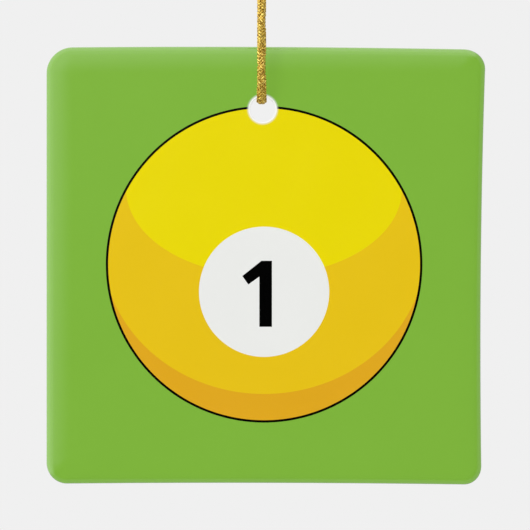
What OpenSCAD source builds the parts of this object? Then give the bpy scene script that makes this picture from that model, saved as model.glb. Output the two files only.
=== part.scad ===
// Square glazed ceramic ornament with a numbered pool ball printed on both faces,
// hung on a loop of gold metallic cord.
//
// Millimetres. The tile stands in the XZ plane with its front towards -Y and +Z up.
// The origin is the hang point: the inside of the top of the cord's loop, where a hook bears.

/* [Tile] */
// Width and height of the tile
tile_w = 73; // [70:0.5:78]
// Thickness of the tile with its glaze
tile_t = 3.3; // [3:0.1:3.5]
// Radius of the four corners, seen from the front
corner_r = 3.6; // [3:0.1:6]
// Radius of the rounding between the faces and the rim
edge_r = 1.5; // [1:0.1:1.5]
// Thickness of the glaze coat, which holds the printed colours
coat_t = 0.2; // [0.1:0.05:0.3]
// How far round the edge the printed field reaches: 90 stops at the face, 0 at the rim
wrap_angle = 10; // [5:5:60]
// How much the kiln has warped the outline: 0 gives true sides
warp_scale = 1; // [0:0.1:1.5]

/* [Hanging hole] */
// Diameter of the hole in the ceramic
hole_d = 4.2; // [4:0.1:4.6]
// Radius of the rounding at the hole's two rims
hole_rim_r = 0.25; // [0.2:0.05:0.35]
// Distance from the tile's top edge to the hole's centre
hole_drop = 10.55; // [9:0.05:11]
// Distance of the hole to the left of the tile's middle
hole_left = 0.25; // [0:0.05:1]

/* [Picture] */
// Radius of the ball's outline
ball_r = 26.3; // [24:0.1:28]
// Width of the black line round the ball
line_w = 0.4; // [0.1:0.02:0.6]
// Radius of the white number disc
disc_r = 10.9; // [8:0.1:12]
// Distance of the number disc's centre below the ball's centre
disc_drop = 4.6; // [0:0.1:6]
// Height of the numeral
numeral_h = 11.05; // [8:0.05:13]

/* [Cord] */
// Diameter of the cord
cord_d = 1.4; // [1:0.1:1.5]
// Number of turns that the knot's wrapping shows
knot_turns = 3; // [2:1:3]

/* [Hidden] */

$fn = 96;
eps = 0.01;

white = [0.96, 0.96, 0.95];
field_green = [0.49, 0.71, 0.24];
ball_light = [0.91, 0.84, 0.01];
ball_middle = [0.90, 0.75, 0.09];
ball_shade = [0.87, 0.65, 0.12];
black = [0.02, 0.02, 0.02];
gold = [0.80, 0.60, 0.20];

// The lowest point of the cord's centre line, where it passes through the hole
cord_low_z = -40.8;
// The hole hangs on the cord: this much daylight is left between them
hole_play = 0.3;
hole_z = cord_low_z + cord_d / 2 + hole_play - hole_d / 2;
tile_x = hole_left + 0.17;
tile_z = hole_z - tile_w / 2 + hole_drop;
half_w = tile_w / 2;

// ---- The tile's outline ----

// Steps round each corner and along each side
corner_steps = 8;
side_steps = 6;
// Angles of the rings over the rounded edge, from the face to the end of the printed field
edge_angles = [for (i = [0:5]) 90 + (wrap_angle - 90) * i / 5];

// Kiln warp of a side, as [middle, tilt, bow]: the side moves by middle + tilt*s + bow*s*s,
// where s runs from -1 to 1 along it
warp_right = [-0.15, 0.36, 0.47] * warp_scale;
warp_top = [-0.03, -0.18, -0.29] * warp_scale;
warp_bottom = [-0.15, -0.08, -0.23] * warp_scale;

function bowed(w, s) = w[0] + w[1] * s + w[2] * s * s;
// The warp fades from a side towards the middle of the tile
function fade(s) = pow(max(0, s), 4);
function warped(p) =
    let (u = p[0] / half_w, v = p[1] / half_w)
    [p[0] + bowed(warp_right, v) * fade(u),
     p[1] + bowed(warp_top, u) * fade(v) + bowed(warp_bottom, u) * fade(-v)];

// How much the warp has changed each corner's radius, anticlockwise from the top right
warp_corners = [-0.1, 0.8, -0.1, -0.6] * warp_scale;
function corner_radius(k) = corner_r + warp_corners[k % 4];
function corner_centre(k) =
    (half_w - corner_radius(k)) * [[1, 1], [-1, 1], [-1, -1], [1, -1]][k % 4];
function corner_point(k, a, inset) =
    corner_centre(k) + (corner_radius(k) - inset) * [cos(90 * k + a), sin(90 * k + a)];
function outline(inset) =
    [for (k = [0:3]) each concat(
        [for (i = [0:corner_steps]) corner_point(k, 90 * i / corner_steps, inset)],
        [for (i = [1:side_steps - 1])
            let (f = i / side_steps)
            corner_point(k, 90, inset) * (1 - f) + corner_point(k + 1, 0, inset) * f])];

// One ring of points round the tile. The angle runs over the rounded edge, from 0 at the
// rim to 90 at the face; depth is how far under the glaze's surface the ring lies; side is
// -1 at the front and 1 at the back.
function edge_ring(angle, depth, side) =
    let (r = edge_r - depth,
         inset = depth + r * (1 - cos(angle)),
         y = side * (tile_t / 2 - edge_r + r * sin(angle)))
    [for (p = outline(inset)) let (q = warped(p)) [q[0], y, q[1]]];

function reversed(list) = [for (i = [len(list) - 1:-1:0]) list[i]];

// A solid whose skin runs through the rings in order. Open ends are capped; a closed chain
// of rings makes a band.
module ring_skin(rings, closed = false) {
    n = len(rings[0]);
    m = len(rings);
    last = closed ? m - 1 : m - 2;
    polyhedron(
        points = [for (ring = rings) each ring],
        faces = concat(
            [for (i = [0:last], j = [0:n - 1])
                let (a = i * n, b = ((i + 1) % m) * n, k = (j + 1) % n)
                each [[a + j, a + k, b + k], [a + j, b + k, b + j]]],
            closed ? [] : [[for (j = [n - 1:-1:0]) j], [for (j = [0:n - 1]) (m - 1) * n + j]]));
}

// ---- The picture, drawn flat: x to the right, y up, origin at the tile's middle ----

// Half-axes and centre heights of the two ellipses that bound the colours
light_y = 12.6;
light_a = sqrt(ball_r * ball_r - light_y * light_y);
light_b = 14.5;
shade_a = 27.1;
shade_b = 24.7;
shade_y = 3;

module ellipse(a, b, y) {
    polygon([for (i = [0:95]) [a * cos(3.75 * i), y + b * sin(3.75 * i)]]);
}

module ball_inside() { circle(r = ball_r - line_w / 2); }

// Everything above the lower edge of the light area
module light_cover() {
    ellipse(light_a, light_b, light_y);
    translate([-ball_r - 1, light_y]) square([2 * ball_r + 2, ball_r]);
}

module disc() { translate([0, -disc_drop]) circle(r = disc_r); }

// The figure one: a stem with a slanted flag at its top left
module numeral() {
    h = numeral_h;
    stem_left = -0.072 * h;
    stem_right = 0.119 * h;
    top = 0.053 * h;
    polygon([[stem_right, top], [stem_right, top - h], [stem_left, top - h],
             [stem_left, top - 0.24 * h], [-0.239 * h, top - 0.359 * h],
             [-0.33 * h, top - 0.231 * h], [-0.041 * h, top]]);
}

// ---- Placing ----

module at_tile() { translate([tile_x, 0, tile_z]) children(); }

// A flat area of the picture as a coat_t thick inlay in the front (side -1) or back (side 1)
// face, cut round the hanging hole. The back's picture reads the right way from behind.
module printed(side) {
    at_tile()
    rotate([90, 0, side < 0 ? 0 : 180])
    translate([0, 0, tile_t / 2 - coat_t])
    linear_extrude(coat_t)
    difference() {
        children();
        translate([side * hole_left, half_w - hole_drop]) circle(r = hole_d / 2 + hole_rim_r);
    }
}

module through_hole(r) {
    translate([-hole_left, 0, half_w - hole_drop])
    rotate([90, 0, 0])
    cylinder(r = r, h = 2 * tile_t, center = true);
}

// ---- The ceramic and its plain glaze ----

module ceramic_body() {
    angles = concat(edge_angles, [0]);
    front = [for (a = angles) edge_ring(a, coat_t, -1)];
    back = [for (a = reversed(angles)) edge_ring(a, coat_t, 1)];
    color(white)
    at_tile()
    difference() {
        ring_skin(concat(front, back));
        through_hole(hole_d / 2 + hole_rim_r);
    }
}

// The white band round the rim, between the two printed fields
module edge_glaze() {
    color(white)
    at_tile()
    ring_skin([
        edge_ring(wrap_angle, 0, -1), edge_ring(0, 0, -1), edge_ring(0, 0, 1),
        edge_ring(wrap_angle, 0, 1), edge_ring(wrap_angle, coat_t, 1),
        edge_ring(0, coat_t, 1), edge_ring(0, coat_t, -1), edge_ring(wrap_angle, coat_t, -1)],
        closed = true);
}

// The white lining of the hole, with its two rounded rims
module hole_glaze() {
    flat = tile_t / 2 - hole_rim_r;
    r_out = hole_d / 2 + hole_rim_r;
    color(white)
    at_tile()
    translate([-hole_left, 0, half_w - hole_drop])
    rotate([90, 0, 0])
    rotate_extrude()
    difference() {
        translate([hole_d / 2, -tile_t / 2]) square([hole_rim_r, tile_t]);
        for (s = [-1, 1]) difference() {
            translate([hole_d / 2 - eps, s > 0 ? flat : -tile_t / 2 - eps])
                square([hole_rim_r + eps, hole_rim_r + eps]);
            translate([r_out, s * flat]) circle(r = hole_rim_r);
        }
    }
}

// ---- The printed colours ----

// The green field: a shallow tray that covers the face and the rounded edge
module field(side) {
    outer = [for (a = edge_angles) edge_ring(a, 0, side)];
    inner = [for (a = reversed(edge_angles)) edge_ring(a, coat_t, side)];
    rings = concat(outer, inner);
    color(field_green)
    at_tile()
    difference() {
        ring_skin(side < 0 ? rings : reversed(rings));
        rotate([90, 0, 0]) cylinder(r = ball_r + line_w / 2, h = 2 * tile_t, center = true);
        through_hole(hole_d / 2 + hole_rim_r);
    }
}

module ball_line(side) {
    color(black)
    printed(side)
    difference() {
        circle(r = ball_r + line_w / 2);
        ball_inside();
    }
}

module light_area(side) {
    color(ball_light)
    printed(side)
    difference() {
        intersection() {
            ball_inside();
            light_cover();
        }
        disc();
    }
}

module middle_area(side) {
    color(ball_middle)
    printed(side)
    difference() {
        intersection() {
            ball_inside();
            ellipse(shade_a, shade_b, shade_y);
        }
        light_cover();
        disc();
    }
}

module shade_area(side) {
    color(ball_shade)
    printed(side)
    difference() {
        ball_inside();
        light_cover();
        ellipse(shade_a, shade_b, shade_y);
    }
}

module number_disc(side) {
    color(white)
    printed(side)
    difference() {
        disc();
        numeral();
    }
}

module number(side) {
    color(black)
    printed(side)
    numeral();
}

// ---- The cord ----

// Round numbers all through. The drop runs down in front of the tile, through the hole and
// up behind it, where the tile can rock between the two strands.
knot_bottom_z = -18;
knot_top_z = -13.4;
drop_half = [[0, -0.8, -18.1], [0, -0.95, -19.5], [0, -1.4, -21.2], [0, -2.1, -23],
             [0, -2.8, -25], [0, -3.2, -27], [0, -3.4, -30], [0, -3.4, -33],
             [0, -3.4, -36], [0, -3.2, -38.4], [0, -2.7, -39.6], [0, -1.9, -40.4],
             [0, -0.8, -40.8]];
drop_route = concat(drop_half, [for (p = reversed(drop_half)) [0, -p[1], p[2]]]);

// The small loop over the knot: two legs, and a crown that lies over the hook
loop_r = 2.6;
loop_z = -1.9;
crown_angle = 50;
leg_route = [[0.8, 0, -13.4], [0.9, 0, -12], [1.5, 0, -9.5], [2.2, 0, -7], [2.6, 0, -4.5],
             [2.6, 0, -1.9], [2.4, 0, -0.9], [2.2, 0, -0.5]];

// The cut ends leave the knot's wrapping in front, one at its bottom and one at its top
right_tail_route = [[0.8, -1.8, -17], [2, -1.8, -17.05], [3.2, -1.75, -17.2],
                    [4.3, -1.6, -17.5], [5.2, -1.5, -17.95], [5.9, -1.4, -18.5]];
left_tail_route = [[-0.8, -1.8, -14.4], [-2, -1.8, -14.4], [-3.6, -1.7, -14.6],
                   [-5, -1.6, -15.5], [-5.8, -1.5, -16.8], [-6.1, -1.4, -18.2]];

function unit(v) = v / norm(v);
function direction(route, i) =
    unit(route[min(i + 1, len(route) - 1)] - route[max(i - 1, 0)]);
// Eight points round the cord at one point of its route; side is square, or nearly so, to it
function cord_ring(p, along, side) =
    let (u = unit(cross(along, side)), v = cross(u, along))
    [for (a = [0:45:315]) p + cord_d / 2 * (u * cos(a) + v * sin(a))];

module tube(route, side) {
    color(gold)
    ring_skin([for (i = [0:len(route) - 1]) cord_ring(route[i], direction(route, i), side)]);
}

module hanging_cord() { tube(drop_route, [1, 0, 0]); }

module loop_top() {
    color(gold)
    translate([0, 0, loop_z])
    rotate([90, crown_angle / 2 - 90, 0])
    rotate_extrude(angle = crown_angle)
    translate([loop_r, 0])
    circle(d = cord_d);
}

module loop_leg(x) {
    tube([for (p = leg_route) [x * p[0], p[1], p[2]]], [0, 1, 0]);
}

// Both strands, wrapped round by turns of the same cord
module cord_knot() {
    mid_z = (knot_top_z + knot_bottom_z) / 2;
    core_r = 1.6;
    wrap_r = 1.75;
    wrap_pitch = 1.3;
    color(gold)
    translate([0, 0, mid_z]) {
        cylinder(r = core_r, h = knot_top_z - knot_bottom_z, center = true);
        for (i = [0:knot_turns - 1])
            translate([0, 0, wrap_pitch * (i - (knot_turns - 1) / 2)])
            rotate_extrude()
            translate([wrap_r, 0])
            circle(d = cord_d);
    }
}

module tail(route) { tube(route, [0, 1, 0]); }

ceramic_body();
edge_glaze();
hole_glaze();
field(-1);  // front_field
ball_line(-1);  // front_ball_line
light_area(-1);  // front_ball_light
middle_area(-1);  // front_ball_middle
shade_area(-1);  // front_ball_shade
number_disc(-1);  // front_number_disc
number(-1);  // front_numeral
field(1);  // back_field
ball_line(1);  // back_ball_line
light_area(1);  // back_ball_light
middle_area(1);  // back_ball_middle
shade_area(1);  // back_ball_shade
number_disc(1);  // back_number_disc
number(1);  // back_numeral
loop_top();
loop_leg(-1);  // loop_left
loop_leg(1);  // loop_right
cord_knot();
tail(left_tail_route);  // cord_tail_left
tail(right_tail_route);  // cord_tail_right
hanging_cord();
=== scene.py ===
"""Square glazed ceramic ornament, printed on both faces with a numbered pool ball, on a gold cord.

The front faces -Y and +Z is up. The origin is the hang point, the inside of the top of the
cord's small loop. Blender's unit is the metre. The tile's sizes and the cord's routes are numbers
of millimetres, as in the CAD part, and become metres when they are multiplied by MM.
"""
import math

import bpy
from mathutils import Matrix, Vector
from mathutils.geometry import delaunay_2d_cdt


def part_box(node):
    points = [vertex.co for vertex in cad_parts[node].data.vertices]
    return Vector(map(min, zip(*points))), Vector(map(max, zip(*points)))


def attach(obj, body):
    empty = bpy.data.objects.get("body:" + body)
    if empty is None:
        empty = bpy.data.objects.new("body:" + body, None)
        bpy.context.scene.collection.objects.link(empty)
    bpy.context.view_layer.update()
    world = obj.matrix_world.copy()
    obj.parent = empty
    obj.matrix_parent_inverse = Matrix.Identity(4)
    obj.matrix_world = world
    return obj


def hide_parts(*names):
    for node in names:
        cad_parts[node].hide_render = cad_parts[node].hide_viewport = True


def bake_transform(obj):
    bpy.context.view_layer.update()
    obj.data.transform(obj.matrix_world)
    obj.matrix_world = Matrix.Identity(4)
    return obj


MM = 0.001
TAU = 2 * math.pi

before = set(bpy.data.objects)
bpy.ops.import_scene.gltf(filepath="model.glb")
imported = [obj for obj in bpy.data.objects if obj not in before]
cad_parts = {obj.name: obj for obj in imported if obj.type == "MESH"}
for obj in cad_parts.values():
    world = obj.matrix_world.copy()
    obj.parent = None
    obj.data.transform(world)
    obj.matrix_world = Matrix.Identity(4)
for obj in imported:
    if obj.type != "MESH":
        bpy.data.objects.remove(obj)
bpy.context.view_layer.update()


# ---------------------------------------------------------------- sizes, from the frame

line_lo, line_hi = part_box("front_ball_line")
hole_lo, hole_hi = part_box("hole_glaze")
disc_lo, disc_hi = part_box("front_number_disc")
numeral_lo, numeral_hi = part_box("front_numeral")
back_lo, back_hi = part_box("back_ball_line")

# TILE_X and TILE_Z, where the middle of the tile is, are in metres, and the rest in millimetres
LINE_W = 0.4
BALL_R = (line_hi.x - line_lo.x) / 2 / MM - LINE_W / 2
TILE_X = (line_lo.x + line_hi.x) / 2
TILE_Z = line_lo.z + (BALL_R + LINE_W / 2) * MM
TILE_T = (back_hi.y - line_lo.y) / MM
COAT_T = (line_hi.y - line_lo.y) / MM
HOLE_X = ((hole_lo.x + hole_hi.x) / 2 - TILE_X) / MM
HOLE_Z = ((hole_lo.z + hole_hi.z) / 2 - TILE_Z) / MM
HOLE_PRINT_R = (hole_hi.x - hole_lo.x) / 2 / MM
HOLE_RIM_R = 0.25
DISC_R = (disc_hi.x - disc_lo.x) / 2 / MM
DISC_Z = ((disc_lo.z + disc_hi.z) / 2 - TILE_Z) / MM
NUMERAL_H = (numeral_hi.z - numeral_lo.z) / MM

# The driving sizes of the outline, as in the CAD part
HALF_W = 36.5
CORNER_R = (3.5, 4.4, 3.5, 3.0)  # anticlockwise from the top right
EDGE_R = 1.5
WRAP_ANGLE = 10.0
WARP_RIGHT = (-0.15, 0.36, 0.47)
WARP_TOP = (-0.03, -0.18, -0.29)
WARP_BOTTOM = (-0.15, -0.08, -0.23)

# The two ellipses that bound the ball's colours: half-width, half-height, height of centre
LIGHT_Z = 12.6
LIGHT_ELLIPSE = (math.sqrt(BALL_R**2 - LIGHT_Z**2), 14.5, LIGHT_Z)
SHADE_ELLIPSE = (27.1, 24.7, 3.0)


# ---------------------------------------------------------------- camera

VIEW_W = 88.7 * MM
CAMERA_DISTANCE = 0.9
CAMERA_RIGHT, CAMERA_UP = 0.15 * MM, -0.12 * MM  # from the middle of the face
SENSOR = 36.0


def make_camera():
    """A long lens, square on to the front face, as wide at the face as the photograph."""
    data = bpy.data.cameras.new("camera")
    data.sensor_width = SENSOR
    data.lens = SENSOR * CAMERA_DISTANCE / VIEW_W
    data.clip_start, data.clip_end = 0.05, 20
    camera = bpy.data.objects.new("camera", data)
    bpy.context.scene.collection.objects.link(camera)
    camera.location = (
        TILE_X + CAMERA_RIGHT, line_lo.y - CAMERA_DISTANCE, TILE_Z + CAMERA_UP)
    camera.rotation_euler = (math.pi / 2, 0, 0)
    bpy.context.scene.camera = camera


make_camera()


# ---------------------------------------------------------------- node helpers


class Nodes:
    """A node tree, with short ways to add the nodes that the materials and the world use. add
    returns the new node, and noise, bump, ramp and mix return its output socket."""

    def __init__(self, tree):
        self.tree = tree

    def add(self, kind, **settings):
        node = self.tree.nodes.new(kind)
        for key, value in settings.items():
            setattr(node, key, value)
        return node

    def link(self, source, target):
        self.tree.links.new(source, target)

    def noise(self, place, scale, detail):
        node = self.add("ShaderNodeTexNoise")
        node.inputs["Scale"].default_value = scale
        node.inputs["Detail"].default_value = detail
        self.link(place, node.inputs["Vector"])
        return node.outputs["Fac"]

    def bump(self, height, strength, distance):
        node = self.add("ShaderNodeBump")
        node.inputs["Strength"].default_value = strength
        node.inputs["Distance"].default_value = distance
        self.link(height, node.inputs["Height"])
        return node.outputs["Normal"]

    def ramp(self, value, start, end, low, high, smooth=True):
        """low where value is below start, high where it is above end, and between them in
        between."""
        kind = "SMOOTHSTEP" if smooth else "LINEAR"
        node = self.add("ShaderNodeMapRange", interpolation_type=kind)
        for key, number in (("From Min", start), ("From Max", end), ("To Min", low), ("To Max", high)):
            node.inputs[key].default_value = number
        self.link(value, node.inputs["Value"])
        return node.outputs["Result"]

    def mix(self, share, first, second):
        """The second colour where share is 1. A colour is a socket or four numbers."""
        node = self.add("ShaderNodeMix", data_type="RGBA")
        self.link(share, node.inputs["Factor"])
        for key, colour in (("A", first), ("B", second)):
            if isinstance(colour, bpy.types.NodeSocket):
                self.link(colour, node.inputs[key])
            else:
                node.inputs[key].default_value = colour
        return node.outputs["Result"]


def new_material(name):
    """A material with only a Principled shader, that shader, and the material's nodes."""
    material = bpy.data.materials.new(name)
    material.use_nodes = True
    return material, material.node_tree.nodes["Principled BSDF"], Nodes(material.node_tree)


def srgb(r, g, b):
    """A display colour, 0 to 255, as the linear colour that a shader takes."""

    def linear(c):
        c /= 255
        return c / 12.92 if c <= 0.04045 else ((c + 0.055) / 1.055) ** 2.4

    return (linear(r), linear(g), linear(b), 1.0)


# ---------------------------------------------------------------- materials


# The print thins out from just inside its edge at the hole to a little way outside it, in
# millimetres, and over some degrees of the tile's rounded edge
FADE_INSIDE, FADE_OUTSIDE = 0.15, 0.4
WRAP_FADE = 10


def glaze(name, base, printed=True, wraps=False, glossy=True):
    """Fired glaze: a faint unevenness of colour and gloss, and a surface that isn't quite
    flat. A printed colour thins out to bare white glaze at the hanging hole's rim, and one
    that wraps also does so round the tile's edge. Without gloss it mirrors nothing."""
    material, shader, nodes = new_material(name)
    place = nodes.add("ShaderNodeTexCoord")
    cloud = nodes.noise(place.outputs["Object"], scale=90, detail=3)
    duller = [c * 0.985 for c in base[:3]] + [1]
    brighter = [min(1, c * 1.015) for c in base[:3]] + [1]
    colour = nodes.mix(cloud, duller, brighter)

    if printed:
        flat = nodes.add("ShaderNodeVectorMath", operation="MULTIPLY")
        flat.inputs[1].default_value = (1, 0, 1)
        nodes.link(place.outputs["Object"], flat.inputs[0])
        away = nodes.add("ShaderNodeVectorMath", operation="DISTANCE")
        away.inputs[1].default_value = (TILE_X + HOLE_X * MM, 0, TILE_Z + HOLE_Z * MM)
        nodes.link(flat.outputs["Vector"], away.inputs[0])
        start, end = (HOLE_PRINT_R - FADE_INSIDE) * MM, (HOLE_PRINT_R + FADE_OUTSIDE) * MM
        colour = nodes.mix(nodes.ramp(away.outputs["Value"], start, end, 0, 1), WHITE, colour)
    if wraps:
        axes = nodes.add("ShaderNodeSeparateXYZ")
        nodes.link(place.outputs["Normal"], axes.inputs["Vector"])
        facing = nodes.add("ShaderNodeMath", operation="ABSOLUTE")
        nodes.link(axes.outputs["Y"], facing.inputs[0])
        start = math.sin(math.radians(WRAP_ANGLE))
        end = math.sin(math.radians(WRAP_ANGLE + WRAP_FADE))
        colour = nodes.mix(nodes.ramp(facing.outputs["Value"], start, end, 0, 1), WHITE, colour)
    nodes.link(colour, shader.inputs["Base Color"])

    roughness = nodes.ramp(cloud, 0, 1, 0.06, 0.10, smooth=False)
    nodes.link(roughness, shader.inputs["Roughness"])
    if not glossy:
        shader.inputs["Specular IOR Level"].default_value = 0
    swell = nodes.noise(place.outputs["Object"], scale=260, detail=1)
    uneven = nodes.bump(swell, strength=0.04, distance=0.2 * MM)
    nodes.link(uneven, shader.inputs["Normal"])
    return material


def bisque():
    """The unglazed ceramic under the coat: matt, with a fine grain."""
    material, shader, nodes = new_material("bisque")
    place = nodes.add("ShaderNodeTexCoord")
    grain = nodes.noise(place.outputs["Object"], scale=3000, detail=4)
    colour = nodes.mix(grain, srgb(226, 222, 212), srgb(240, 237, 230))
    nodes.link(colour, shader.inputs["Base Color"])
    shader.inputs["Roughness"].default_value = 0.85
    return material


def gold_thread(name, dark, middle, light, metal):
    """Metallic thread: crinkled bright foil wound round each yarn. Its colour runs from dark to light
    over a noise along the yarn: partly the foil's own uneven tone, and partly painted glints and
    painted shade.
    The yarn's own coordinates are in the attribute 'yarn': x across it, y along it in
    millimetres, z a number of its own."""
    material, shader, nodes = new_material(name)
    yarn = nodes.add("ShaderNodeAttribute", attribute_name="yarn")
    stretch = nodes.add("ShaderNodeMapping")
    stretch.inputs["Scale"].default_value = (0.8, 2.2, 5.0)
    nodes.link(yarn.outputs["Vector"], stretch.inputs["Vector"])
    foil = nodes.noise(stretch.outputs["Vector"], scale=1.5, detail=2)

    # Most of the noise lies between these two values
    low, high = 0.36, 0.64
    # The dark and light stops are partly the foil's tone and partly painted shade and painted glints
    tone_and_painted_glints = nodes.add("ShaderNodeValToRGB")
    stops = tone_and_painted_glints.color_ramp.elements
    stops[0].position, stops[0].color = low, dark
    stops[1].position, stops[1].color = high, light
    stops.new((low + high) / 2).color = middle
    nodes.link(foil, tone_and_painted_glints.inputs["Fac"])
    nodes.link(tone_and_painted_glints.outputs["Color"], shader.inputs["Base Color"])

    roughness = nodes.ramp(foil, low, high, 0.5, 0.25, smooth=False)
    nodes.link(roughness, shader.inputs["Roughness"])
    shader.inputs["Metallic"].default_value = metal
    crinkle = nodes.noise(stretch.outputs["Vector"], scale=3.0, detail=1)
    uneven = nodes.bump(crinkle, strength=0.8, distance=0.1 * MM)
    nodes.link(uneven, shader.inputs["Normal"])
    return material


WHITE = srgb(234, 235, 232)

GLAZES = {
    "white": glaze("white_glaze", WHITE, printed=False),
    # Painted light: the bore's white is lighter than the other white glaze, to lift the shade inside
    # the hole
    "bore": glaze("hole_lining_painted_lighter", srgb(244, 244, 242), printed=False, glossy=False),
    "field": glaze("green_print", srgb(126, 180, 60), wraps=True),
    "line": glaze("black_print", srgb(2, 2, 2)),
    "light": glaze("light_yellow_print", srgb(233, 216, 3)),
    "middle": glaze("middle_yellow_print", srgb(230, 193, 22)),
    "shade": glaze("dark_yellow_print", srgb(223, 167, 30)),
}
# The yarn's dark and light colours are partly its tone and partly painted shade and painted glints
GOLD = gold_thread("gold_yarn", srgb(112, 76, 8), srgb(208, 168, 52), srgb(251, 227, 122), 0.55)
# The core is a real thread, but its dark colour is painted shade for the gaps between the yarns
GOLD_CORE_PAINTED_SHADE = gold_thread("gold_core_painted_shade", srgb(60, 38, 6), srgb(84, 56, 10), srgb(112, 80, 20), 0.2)


# ---------------------------------------------------------------- meshes


def mark_sharp_edges(mesh):
    """Sharp wherever a smooth face meets a flat one."""
    flat = {key for p in mesh.polygons if not p.use_smooth for key in p.edge_keys}
    if flat:
        sharp = mesh.attributes.new("sharp_edge", "BOOLEAN", "EDGE")
        sharp.data.foreach_set("value", [e.key in flat for e in mesh.edges])


def new_piece(name, points, faces, materials, smooth=None, face_materials=None):
    """A mesh object from points in metres. smooth says which faces are shaded smooth."""
    mesh = bpy.data.meshes.new(name)
    mesh.from_pydata(points, [], faces)
    for material in materials:
        mesh.materials.append(material)
    mesh.polygons.foreach_set("use_smooth", smooth or [True] * len(faces))
    if face_materials:
        mesh.polygons.foreach_set("material_index", face_materials)
    mesh.update()
    mark_sharp_edges(mesh)
    piece = bpy.data.objects.new(name, mesh)
    bpy.context.scene.collection.objects.link(piece)
    return piece


def solid_from_skin(name, outer, inner, faces, material, rounded):
    """A closed coat: the faces run over the outer points, face outwards, and are repeated on
    the inner points, with a wall wherever the skin has an open edge. The first `rounded`
    faces are shaded smooth."""
    n = len(outer)
    edges = {(f[i], f[(i + 1) % len(f)]) for f in faces for i in range(len(f))}
    walls = [(b, a, a + n, b + n) for a, b in edges if (b, a) not in edges]
    walls.sort()
    inside = [tuple(i + n for i in reversed(f)) for f in faces]
    flat = len(faces) - rounded + len(walls) + len(inside)
    smooth = [True] * rounded + [False] * flat
    return new_piece(name, outer + inner, list(faces) + walls + inside, [material], smooth)


# ---------------------------------------------------------------- the tile's outline

CORNER_STEPS = 20
SIDE_STEPS = 20
# Below about this radius an inset corner shrinks more slowly, so that it never vanishes
SMALL_CORNER_R = 1.0
SLOW_SHRINKING = 0.2


def warped(x, z):
    """A point of a true rounded square, moved as the kiln has moved it. Millimetres."""
    u, v = x / HALF_W, z / HALF_W

    def bowed(w, s):
        return w[0] + w[1] * s + w[2] * s * s

    def fade(s):
        return max(0.0, s) ** 4

    return (
        x + bowed(WARP_RIGHT, v) * fade(u),
        z + bowed(WARP_TOP, u) * fade(v) + bowed(WARP_BOTTOM, u) * fade(-v),
    )


def outline(inset):
    """Points round the tile, anticlockwise as seen from the front, inset from its outline.
    A corner that would vanish keeps a small radius."""

    def corner_point(k, degrees):
        k %= 4
        true_r = CORNER_R[k] - inset
        r = max(true_r, SMALL_CORNER_R + SLOW_SHRINKING * true_r)
        reach = HALF_W - inset - r
        sign_x, sign_z = ((1, 1), (-1, 1), (-1, -1), (1, -1))[k]
        a = math.radians(90 * k + degrees)
        return (sign_x * reach + r * math.cos(a), sign_z * reach + r * math.sin(a))

    points = []
    for k in range(4):
        points += [corner_point(k, 90 * i / CORNER_STEPS) for i in range(CORNER_STEPS + 1)]
        (x0, z0), (x1, z1) = corner_point(k, 90), corner_point(k + 1, 0)
        for i in range(1, SIDE_STEPS):
            f = i / SIDE_STEPS
            points.append((x0 + (x1 - x0) * f, z0 + (z1 - z0) * f))
    return [warped(x, z) for x, z in points]


# The face sinks a little towards its edge, over a shoulder, before it turns down the rounding
SHOULDER_W = 3.2
SHOULDER_DEPTH = 0.182
SHOULDER_ANGLE = 90 - math.degrees(math.atan(2 * SHOULDER_DEPTH / SHOULDER_W))
ROUND_R = (EDGE_R - SHOULDER_DEPTH) / math.sin(math.radians(SHOULDER_ANGLE))
SHOULDER_START = ROUND_R * (1 - math.cos(math.radians(SHOULDER_ANGLE)))


def edge_ring(degrees, depth, side):
    """One ring over the rounded edge as 3-D points, and 0 degrees is the rim. side is -1 in
    front and 1 behind; depth is how far under the surface the ring lies."""
    a = math.radians(degrees)
    r = ROUND_R - depth
    y = side * (TILE_T / 2 - EDGE_R + r * math.sin(a))
    return [at_tile(x, y, z) for x, z in outline(ROUND_R - r * math.cos(a))]


def shoulder_ring(t, side):
    """One ring over the shoulder, and its partner on the coat's underside. t is 0 where the
    rounding starts and 1 where the flat of the face does."""
    drop = SHOULDER_DEPTH * (1 - t) ** 2
    ring = outline(SHOULDER_START + SHOULDER_W * t)
    outer = [at_tile(x, side * (TILE_T / 2 - drop), z) for x, z in ring]
    inner = [at_tile(x, side * (TILE_T / 2 - COAT_T), z) for x, z in ring]
    return outer, inner


def at_tile(x_mm, y_mm, z_mm):
    return Vector((TILE_X + x_mm * MM, y_mm * MM, TILE_Z + z_mm * MM))


def ring_faces(rings, size, flip):
    """Quads between rings of points that are numbered one after another."""
    faces = []
    for r in range(rings - 1):
        for i in range(size):
            j = (i + 1) % size
            a, b = r * size, (r + 1) * size
            face = (a + i, a + j, b + j, b + i)
            faces.append(face[::-1] if flip else face)
    return faces


# ---------------------------------------------------------------- the printed faces

BALL_STEPS = 288
ELLIPSE_STEPS = 240
DISC_STEPS = 144
HOLE_STEPS = 72
MERGE_DISTANCE = 1e-5
SLIVER = 1e-9  # twice the area under which a triangle of the cut is left out


def circle(r, n, x=0.0, z=0.0):
    return [(x + r * math.cos(TAU * i / n), z + r * math.sin(TAU * i / n)) for i in range(n)]


def ellipse(half_width, half_height, z):
    turns = [TAU * i / ELLIPSE_STEPS for i in range(ELLIPSE_STEPS)]
    return [(half_width * math.cos(a), z + half_height * math.sin(a)) for a in turns]


def numeral_outline():
    """The figure one, anticlockwise from the top of its flag: a stem, and a flag that slants
    down to the left. The origin is the ball's centre."""
    h = NUMERAL_H
    return [
        (-0.041 * h, 0.053 * h),
        (-0.33 * h, -0.178 * h),
        (-0.239 * h, -0.306 * h),
        (-0.072 * h, -0.187 * h),
        (-0.072 * h, -0.947 * h),
        (0.119 * h, -0.947 * h),
        (0.119 * h, 0.053 * h),
    ]


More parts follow.
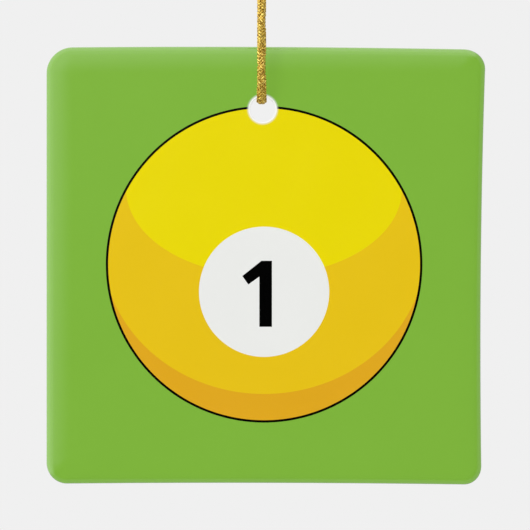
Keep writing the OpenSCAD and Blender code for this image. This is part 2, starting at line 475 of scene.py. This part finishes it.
def inside(shape, x, z):
    """Whether a point lies in a closed outline."""
    odd = False
    x0, z0 = shape[-1]
    for x1, z1 in shape:
        if (z1 > z) != (z0 > z) and x < (x0 - x1) * (z - z1) / (z0 - z1) + x1:
            odd = not odd
        x0, z0 = x1, z1
    return odd


def split_face(side):
    """Cuts one flat face along every printed boundary, so that neighbouring colours share
    their points. Returns the points, x to the right as that face is seen, {area: triangles}
    and {point: its number in the outline}."""
    hand = -side
    edge = [(hand * x, z) for x, z in outline(SHOULDER_START + SHOULDER_W)]
    shapes = {
        "edge": edge if hand > 0 else edge[::-1],
        "ball": circle(BALL_R + LINE_W / 2, BALL_STEPS),
        "ball_inside": circle(BALL_R - LINE_W / 2, BALL_STEPS),
        "disc": circle(DISC_R, DISC_STEPS, 0, DISC_Z),
        "numeral": numeral_outline(),
        "light": ellipse(*LIGHT_ELLIPSE),
        "shade": ellipse(*SHADE_ELLIPSE),
        "hole": circle(HOLE_PRINT_R, HOLE_STEPS, hand * HOLE_X, HOLE_Z),
    }
    points, edges = [], []
    for name, shape in shapes.items():
        first = len(points)
        points += [Vector(p) for p in shape]
        edges += [(first + i, first + (i + 1) % len(shape)) for i in range(len(shape))]
    cut, _, triangles, origins, *_ = delaunay_2d_cdt(
        points, edges, [], 0, MERGE_DISTANCE)

    def area_at(x, z):
        within = {name: inside(shape, x, z) for name, shape in shapes.items()}
        if within["hole"] or not within["edge"]:
            return None
        if not within["ball"]:
            return "field"
        if not within["ball_inside"]:
            return "line"
        if within["disc"]:
            return "numeral" if within["numeral"] else "disc"
        if z > LIGHT_Z or within["light"]:
            return "light"
        return "middle" if within["shade"] else "shade"

    areas = {}
    for triangle in triangles:
        a, b, c = (cut[i] for i in triangle)
        turn = (b - a).cross(c - a)
        if abs(turn) < SLIVER:
            continue
        area = area_at((a.x + b.x + c.x) / 3, (a.y + b.y + c.y) / 3)
        if area:
            areas.setdefault(area, []).append(tuple(triangle if turn > 0 else triangle[::-1]))

    # Which point of the face's outline each point of the cut is, if it is one
    last = len(edge) - 1
    rim = {}
    for i, found in enumerate(origins):
        for k in found:
            if k <= last:
                rim[i] = k if hand > 0 else last - k
    return cut, areas, rim


def plate(name, cut, triangles, side, material):
    """One printed area as a flat inlay of the coat's thickness."""
    used = sorted({i for t in triangles for i in t})
    number = {old: new for new, old in enumerate(used)}
    y_out, y_in = side * TILE_T / 2, side * (TILE_T / 2 - COAT_T)
    outer = [at_tile(-side * cut[i].x, y_out, cut[i].y) for i in used]
    inner = [at_tile(-side * cut[i].x, y_in, cut[i].y) for i in used]
    faces = [tuple(number[i] for i in t) for t in triangles]
    return solid_from_skin(name, outer, inner, faces, material, 0)


# Where the rings lie over the shoulder, two of them close together at the flat of the face, and
# the number of steps over the rounding
SHOULDER_RINGS = (1, 0.97, 0.85, 0.72, 0.6, 0.5, 0.4, 0.32, 0.24, 0.16, 0.08)
ROUNDING_STEPS = 13


def field_coat(name, cut, triangles, rim, side, material):
    """The green field: the flat area round the ball, and the print that runs on over the
    shoulder and the rounded edge. The rings start at the flat area's own outer points."""
    outer, inner = [], []
    for t in SHOULDER_RINGS:
        upper, lower = shoulder_ring(t, side)
        outer += upper
        inner += lower
    size = len(outer) // len(SHOULDER_RINGS)
    rise = SHOULDER_ANGLE - WRAP_ANGLE
    angles = [SHOULDER_ANGLE - rise * i / ROUNDING_STEPS for i in range(ROUNDING_STEPS + 1)]
    for a in angles:
        outer += edge_ring(a, 0, side)
        inner += edge_ring(a, COAT_T / 2, side)
    faces = ring_faces(len(SHOULDER_RINGS) + len(angles), size, flip=side < 0)
    rounded = len(faces)
    y_out, y_in = side * TILE_T / 2, side * (TILE_T / 2 - COAT_T)

    number = dict(rim)
    for i in sorted({i for t in triangles for i in t} - set(rim)):
        number[i] = len(outer)
        outer.append(at_tile(-side * cut[i].x, y_out, cut[i].y))
        inner.append(at_tile(-side * cut[i].x, y_in, cut[i].y))
    faces += [tuple(number[i] for i in t) for t in triangles]
    return solid_from_skin(name, outer, inner, faces, material, rounded)


def replace_coat(piece, node):
    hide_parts(node)
    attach(piece, "tile")


# For each area: the end of its node's name, its glaze, and its slot
AREA_NODES = {
    "field": ("field", "field", "green_glaze"),
    "line": ("ball_line", "line", "black_glaze"),
    "light": ("ball_light", "light", "light_yellow_glaze"),
    "middle": ("ball_middle", "middle", "middle_yellow_glaze"),
    "shade": ("ball_shade", "shade", "dark_yellow_glaze"),
    "disc": ("number_disc", "white", "white_glaze"),
    "numeral": ("numeral", "line", "black_glaze"),
}


def make_printed_faces():
    for side, face in ((-1, "front"), (1, "back")):
        cut, areas, rim = split_face(side)
        for area, (node, paint, slot) in AREA_NODES.items():
            name, glaze_here = f"{face}_{node}_coat", GLAZES[paint]
            if area == "field":
                piece = field_coat(name, cut, areas[area], rim, side, glaze_here)
            else:
                piece = plate(name, cut, areas[area], side, glaze_here)
            replace_coat(piece, f"{face}_{node}")


def make_edge_coat():
    """The bare white glaze round the rim, between the two printed fields."""
    angles = [WRAP_ANGLE, WRAP_ANGLE - 1, WRAP_ANGLE / 2, 0]
    rings = [(a, -1) for a in angles] + [(a, 1) for a in reversed(angles)]
    outer = [p for a, side in rings for p in edge_ring(a, 0, side)]
    inner = [p for a, side in rings for p in edge_ring(a, COAT_T, side)]
    faces = ring_faces(len(rings), len(outer) // len(rings), flip=True)
    white = GLAZES["white"]
    piece = solid_from_skin("edge_glaze_coat", outer, inner, faces, white, len(faces))
    replace_coat(piece, "edge_glaze")


RIM_ANGLES = (90, 89, 80, 65, 45, 25, 10, 1, 0)
RIM_POWER = 0.5  # 1 would make the rims round; less draws them out towards a square corner


def make_hole_coat():
    """The hole's white lining, with its two softened rims. Its white is painted lighter than the other
    white glaze, as painted light that lifts the shade in the bore.
    """
    bore_r = HOLE_PRINT_R - HOLE_RIM_R
    flat = TILE_T / 2 - HOLE_RIM_R
    profile = [
        (bore_r + HOLE_RIM_R * (1 - math.cos(math.radians(a)) ** RIM_POWER),
         -flat - HOLE_RIM_R * math.sin(math.radians(a)) ** RIM_POWER)
        for a in RIM_ANGLES
    ]
    profile += [(r, -y) for r, y in reversed(profile)]

    def ring(r, y):
        return [at_tile(x, y, z) for x, z in circle(r, HOLE_STEPS, HOLE_X, HOLE_Z)]

    outer = [p for r, y in profile for p in ring(r, y)]
    # The back of the lining lies just inside the ceramic
    inner = [p for _, y in profile for p in ring(HOLE_PRINT_R + 0.02, y * 0.98)]
    faces = ring_faces(len(profile), HOLE_STEPS, flip=False)
    lining = GLAZES["bore"]
    piece = solid_from_skin("hole_glaze_coat", outer, inner, faces, lining, len(faces))
    replace_coat(piece, "hole_glaze")


def make_ceramic_body():
    """The CAD solid is right as it is, and lies wholly under the coat."""
    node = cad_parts["ceramic_body"]
    node.data.materials.clear()
    node.data.materials.append(bisque())


# ---------------------------------------------------------------- the braided cord

YARNS = 7  # in each direction
LAY = 3.9 * MM  # length in which a yarn goes once round
BRAID_R = 0.56 * MM  # middle radius of the yarns
WEAVE = 0.12 * MM  # how far a yarn rises and dives as it crosses the others
YARN_HALF_W = 0.17 * MM
YARN_HALF_T = 0.11 * MM
YARN_SIDES = 6
YARN_NUMBER_STEP = 1.7  # sets neighbouring yarns' crinkles well apart
CORE_R = 0.5 * MM
CORE_SIDES = 12
RING_STEP = 0.12 * MM
CURVE_STEPS = 40  # between two points of a route, before it is cut into even steps
FRAY = 0.35 * MM  # how far the yarns of a cut end spread
FRAY_REACH = 1.6 * MM


def smooth_route(points, step):
    """A Catmull-Rom curve through the points, at even steps of its length."""
    points = [Vector(p) for p in points]
    ends = [2 * points[0] - points[1]] + points + [2 * points[-1] - points[-2]]
    fine = []
    for i in range(1, len(ends) - 2):
        p0, p1, p2, p3 = ends[i - 1 : i + 3]
        for k in range(CURVE_STEPS):
            t = k / CURVE_STEPS
            fine.append(0.5 * (2 * p1 + (p2 - p0) * t + (2 * p0 - 5 * p1 + 4 * p2 - p3) * t * t
                               + (3 * p1 - 3 * p2 + p3 - p0) * t**3))
    fine.append(points[-1])
    lengths = [0.0]
    for a, b in zip(fine, fine[1:]):
        lengths.append(lengths[-1] + (b - a).length)
    count = max(2, round(lengths[-1] / step))
    even, j = [], 0
    for i in range(count + 1):
        s = lengths[-1] * i / count
        while j < len(fine) - 2 and lengths[j + 1] < s:
            j += 1
        span = lengths[j + 1] - lengths[j]
        even.append(fine[j].lerp(fine[j + 1], (s - lengths[j]) / span if span else 0))
    return even, lengths[-1]


def carried_frames(line, first_side):
    """(point, u, v) along a line: two directions across it, carried along without twisting."""
    frames = []
    tangent = (line[1] - line[0]).normalized()
    u = (first_side - first_side.dot(tangent) * tangent).normalized()
    for i, p in enumerate(line):
        ahead = (line[min(i + 1, len(line) - 1)] - line[max(i - 1, 0)]).normalized()
        turn = tangent.rotation_difference(ahead)
        u = turn @ u
        u = (u - u.dot(ahead) * ahead).normalized()
        tangent = ahead
        frames.append((p, u, ahead.cross(u)))
    return frames


def no_press(s):
    return 1.0, 1.0, 0.0


def braid(name, route, first_side, press=no_press, end_fray=0.0):
    """A round braid of flat yarns over a core, along a route. Its u and v lie across it, and u
    starts out along first_side. press(s) gives, at a distance s along it, the scale along u,
    the scale along v, and the shift along v. end_fray is how far the yarns spread at its end.
    Returns the piece, its centre line and its length."""
    line, length = smooth_route(route, RING_STEP)
    frames = carried_frames(line, first_side)
    count = len(frames)
    step = length / (count - 1)
    turn = TAU / LAY
    # Points, faces, each face's material, and each point's place in its yarn
    points, faces, paint, marks = [], [], [], []

    def tube(rings, sides, across_of, number, material):
        """One closed tube from rings of points, each ring `sides` long."""
        first = len(points)
        for i, ring in enumerate(rings):
            points.extend(ring)
            marks.extend((across_of(k), i * step / MM, number) for k in range(sides))
        for face in ring_faces(len(rings), sides, flip=False):
            faces.append(tuple(first + i for i in face))
        last = first + (len(rings) - 1) * sides
        faces.append(tuple(first + k for k in reversed(range(sides))))
        faces.append(tuple(last + k for k in range(sides)))
        paint.extend([material] * (len(faces) - len(paint)))

    def placed(i, angle, r):
        """The point at an angle and radius about the braid's middle, at ring i."""
        p, u, v = frames[i]
        su, sv, lift = press(i * step)
        return p + u * (r * math.cos(angle) * su) + v * (r * math.sin(angle) * sv + lift)

    def spread(i):
        """How far the yarns of a cut end have opened out at ring i."""
        near_end = max(0.0, 1 - (length - i * step) / FRAY_REACH)
        return end_fray * near_end**2

    for hand in (1, -1):
        for k in range(YARNS):
            rings = []
            for i in range(count):
                s = i * step
                angle = hand * turn * s + TAU * k / YARNS
                crossing = hand * (s * 2 * YARNS / LAY) + 2 * k
                r = BRAID_R + hand * WEAVE * math.cos(TAU * (crossing - 0.5) / 4)
                r += spread(i)
                centre = placed(i, angle, r)
                outward = (placed(i, angle, r + MM) - centre).normalized()
                ahead = frames[i][1].cross(frames[i][2])
                around = ahead.cross(outward)
                slope = hand * turn * r
                run = (ahead + around * slope).normalized()
                flat = outward.cross(run)
                rings.append([
                    centre
                    + flat * (YARN_HALF_W * math.cos(TAU * q / YARN_SIDES))
                    + outward * (YARN_HALF_T * math.sin(TAU * q / YARN_SIDES))
                    for q in range(YARN_SIDES)
                ])
            number = (k + (YARNS if hand < 0 else 0)) * YARN_NUMBER_STEP
            tube(rings, YARN_SIDES, lambda q: math.cos(TAU * q / YARN_SIDES), number, 0)
    # The core, coloured dark as painted shade in the gaps between the yarns
    core = [
        [placed(i, TAU * q / CORE_SIDES, CORE_R) for q in range(CORE_SIDES)]
        for i in range(count)
    ]
    tube(core, CORE_SIDES, lambda q: q / CORE_SIDES, 0.0, 1)

    piece = new_piece(name, points, faces, [GOLD, GOLD_CORE_PAINTED_SHADE], face_materials=paint)
    attribute = piece.data.attributes.new("yarn", "FLOAT_VECTOR", "POINT")
    attribute.data.foreach_set("vector", [c for mark in marks for c in mark])
    return piece, line, length


def mm_points(points):
    return [Vector(p) * MM for p in points]


# The drop: down in front of the tile, through the hole and up behind it. In the hole the cord
# is widened, flattened and lifted, each most at its lowest point and less and less over a reach
CORD_LOW_Z = -40.8
WIDENED, WIDENED_REACH = 0.18, 8 * MM
FLATTENED, FLATTENED_REACH = 0.4, 6 * MM
LIFTED, LIFTED_REACH = 0.4 * MM, 2.8 * MM
DROP_HALF = [
    (0, -0.8, -17.4), (0, -0.8, -18.1), (0, -0.95, -19.5), (0, -1.4, -21.2), (0, -2.1, -23),
    (0, -2.8, -25), (0, -3.2, -27), (0, -3.4, -30), (0, -3.4, -33), (0, -3.4, -36),
    (0, -3.2, -38.4), (0, -2.7, -39.6), (0, -1.9, -40.4), (0, -0.8, CORD_LOW_Z),
]
DROP_ROUTE = DROP_HALF + [(0, -y, z) for _, y, z in reversed(DROP_HALF)]

# The small loop over the knot
LOOP_R = 2.6
LOOP_Z = -1.9
LEG = [(0.8, 0, -14.2), (0.8, 0, -13.4), (0.9, 0, -12), (1.5, 0, -9.5), (2.2, 0, -7),
       (2.6, 0, -4.5)]
CROWN = [
    (LOOP_R * math.cos(math.radians(a)), 0, LOOP_Z + LOOP_R * math.sin(math.radians(a)))
    for a in range(0, 181, 20)
]
LOOP_ROUTE = LEG + CROWN + [(-x, y, z) for x, y, z in reversed(LEG)]

# The wrapping: two turns round both strands. Its lower end runs on as the right tail, and its
# upper end as the left one
WRAP_R = 1.75
WRAP_LOW, WRAP_HIGH = -17.0, -14.4
WRAP_TURNS = 2
WRAP_STEPS = 48


def wrap_point(i):
    """A point of the wrapping, which starts in front and climbs, clockwise from above."""
    a = math.radians(-90 - 360 * WRAP_TURNS * i / WRAP_STEPS)
    z = WRAP_LOW + (WRAP_HIGH - WRAP_LOW) * i / WRAP_STEPS
    return (WRAP_R * math.cos(a), WRAP_R * math.sin(a), z)


WRAP = [wrap_point(i) for i in range(WRAP_STEPS + 1)]
RIGHT_TAIL = [(0.8, -1.8, -17), (2, -1.8, -17.05), (3.2, -1.75, -17.2), (4.3, -1.6, -17.5),
              (5.2, -1.5, -17.95), (5.9, -1.4, -18.5)]
LEFT_TAIL = [(-0.8, -1.8, -14.4), (-2, -1.8, -14.4), (-3.6, -1.7, -14.6), (-5, -1.6, -15.5),
             (-5.8, -1.5, -16.8), (-6.1, -1.4, -18.2)]


def make_cord():
    """The whole cord, in five pieces. The strands' twist starts inside the knot, out of sight,
    and is all but over where they reach the tile, even when it rocks."""
    x_axis, y_axis, z_axis = Vector((1, 0, 0)), Vector((0, 1, 0)), Vector((0, 0, 1))

    drop_middle = smooth_route(mm_points(DROP_ROUTE), RING_STEP)[1] / 2

    def pressed_in_hole(s):
        """Flattened where it bears on the top of the hole, and wider for a way beyond that."""

        def within(reach):
            near = max(0.0, 1 - abs(s - drop_middle) / reach)
            return near * near * (3 - 2 * near)

        wide = 1 + WIDENED * within(WIDENED_REACH)
        flat = 1 - FLATTENED * within(FLATTENED_REACH)
        return wide, flat, -LIFTED * within(LIFTED_REACH)

    drop, drop_line, drop_length = braid(
        "drop_cord", mm_points(DROP_ROUTE), x_axis, pressed_in_hole)
    loop, loop_line, loop_length = braid("loop_cord", mm_points(LOOP_ROUTE), y_axis)
    knot, *_ = braid("knot_wrap", mm_points(WRAP), z_axis)
    left, *_ = braid("left_tail", mm_points([WRAP[-1]] + LEFT_TAIL), z_axis, end_fray=FRAY)
    right, *_ = braid("right_tail", mm_points([WRAP[0]] + RIGHT_TAIL), z_axis, end_fray=FRAY)

    for piece, node in ((knot, "cord_knot"), (left, "cord_tail_left"), (right, "cord_tail_right")):
        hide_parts(node)
        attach(piece, "knot")
    # The tile takes only the key light's shadow of the cord, and not its wide soft shade
    drop.visible_diffuse = False
    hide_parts("hanging_cord")
    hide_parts("loop_top", "loop_left", "loop_right")

    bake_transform(drop)
    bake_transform(loop)


make_cord()
make_printed_faces()
make_edge_coat()
make_hole_coat()
make_ceramic_body()


# ---------------------------------------------------------------- studio


ROOM_LOW, ROOM_HIGH = 0.65, 0.87
SOFTBOX = 0.45
FRONT_PANEL, BACK_PANEL = 1.9, 0.9
MIRRORED_SIDES, MIRRORED_BACK = 0.75, 0.4  # the back's is a share of the sides'
BACKDROP = srgb(240, 240, 240)
FLOOR_R, FLOOR_DROP = 1.9, 0.25  # the drop is below the tile's middle
FLOOR_STEPS = 96
KEY_POWER = 2.6
KEY_SIZE = 0.6
KEY_PLACE = Vector((-0.95, -0.8, 0.5))  # from the tile's middle


def make_floor():
    """A pale disc well below the ornament, out of the front view and of its reflections."""
    rim = circle(FLOOR_R, FLOOR_STEPS)
    points = [Vector((x, y, TILE_Z - FLOOR_DROP)) for x, y in rim]
    material, shader, _ = new_material("floor")
    shader.inputs["Base Color"].default_value = BACKDROP
    shader.inputs["Roughness"].default_value = 0.9
    floor = new_piece("floor", points, [tuple(range(FLOOR_STEPS))], [material], smooth=[False])
    floor.visible_glossy = False


def make_world():
    """A white room, a little brighter at the upper left, with a large softbox in front and
    behind. Reflections see a different one: a broad bright panel at the upper left, pale sides
    and a darker back, and nothing in front. The backdrop is plain and pale."""
    world = bpy.data.worlds.new("studio")
    bpy.context.scene.world = world
    world.use_nodes = True
    nodes = Nodes(world.node_tree)
    out = world.node_tree.nodes["World Output"]
    light = world.node_tree.nodes["Background"]
    light.inputs["Color"].default_value = (1, 1, 1, 1)
    place = nodes.add("ShaderNodeTexCoord")

    def calculate(operation, *values):
        node = nodes.add("ShaderNodeMath", operation=operation)
        for socket, value in zip(node.inputs, values):
            nodes.link(value, socket)
        return node.outputs["Value"]

    def towards(direction):
        """The cosine of the angle from a direction."""
        dot = nodes.add("ShaderNodeVectorMath", operation="DOT_PRODUCT")
        dot.inputs[1].default_value = Vector(direction).normalized()
        nodes.link(place.outputs["Generated"], dot.inputs[0])
        return dot.outputs["Value"]

    behind = towards((0, 1, 0))
    room = nodes.ramp(towards((-0.5, -0.2, 0.8)), -1, 1, ROOM_LOW, ROOM_HIGH)
    boxes = nodes.ramp(calculate("ABSOLUTE", behind), 0.5, 1, 0, SOFTBOX)
    lit = calculate("ADD", room, boxes)

    panel = nodes.ramp(towards((-1, 0, 1)), 0, 0.29, 0, 1)
    panel_strength = nodes.ramp(behind, -0.2, 0.7, FRONT_PANEL, BACK_PANEL)
    sides = nodes.ramp(behind, -0.75, -0.3, 0, MIRRORED_SIDES)
    back_share = nodes.ramp(behind, 0.5, 0.95, 1, MIRRORED_BACK)
    mirrored = calculate(
        "ADD",
        calculate("MULTIPLY", panel, panel_strength),
        calculate("MULTIPLY", sides, back_share),
    )

    rays = nodes.add("ShaderNodeLightPath")
    choice = nodes.add("ShaderNodeMix", data_type="FLOAT")
    nodes.link(rays.outputs["Is Glossy Ray"], choice.inputs["Factor"])
    nodes.link(lit, choice.inputs["A"])
    nodes.link(mirrored, choice.inputs["B"])
    nodes.link(choice.outputs["Result"], light.inputs["Strength"])

    backdrop = nodes.add("ShaderNodeBackground")
    backdrop.inputs["Color"].default_value = BACKDROP
    shown = nodes.add("ShaderNodeMixShader")
    nodes.link(rays.outputs["Is Camera Ray"], shown.inputs["Fac"])
    nodes.link(light.outputs["Background"], shown.inputs[1])
    nodes.link(backdrop.outputs["Background"], shown.inputs[2])
    nodes.link(shown.outputs["Shader"], out.inputs["Surface"])


def make_key_light():
    """A softbox at the upper left, small enough to cast the cord's soft shadow. Reflections
    don't show it."""
    data = bpy.data.lights.new("key", "AREA")
    data.shape = "DISK"
    data.size = KEY_SIZE
    data.energy = KEY_POWER
    key = bpy.data.objects.new("key", data)
    bpy.context.scene.collection.objects.link(key)
    key.location = Vector((TILE_X, 0, TILE_Z)) + KEY_PLACE
    key.visible_glossy = False
    key.rotation_mode = "QUATERNION"
    key.rotation_quaternion = (-KEY_PLACE).to_track_quat("-Z", "Y")


make_floor()
make_world()
make_key_light()
scene = bpy.context.scene
scene.view_settings.view_transform = "Standard"
scene.view_settings.look = "None"
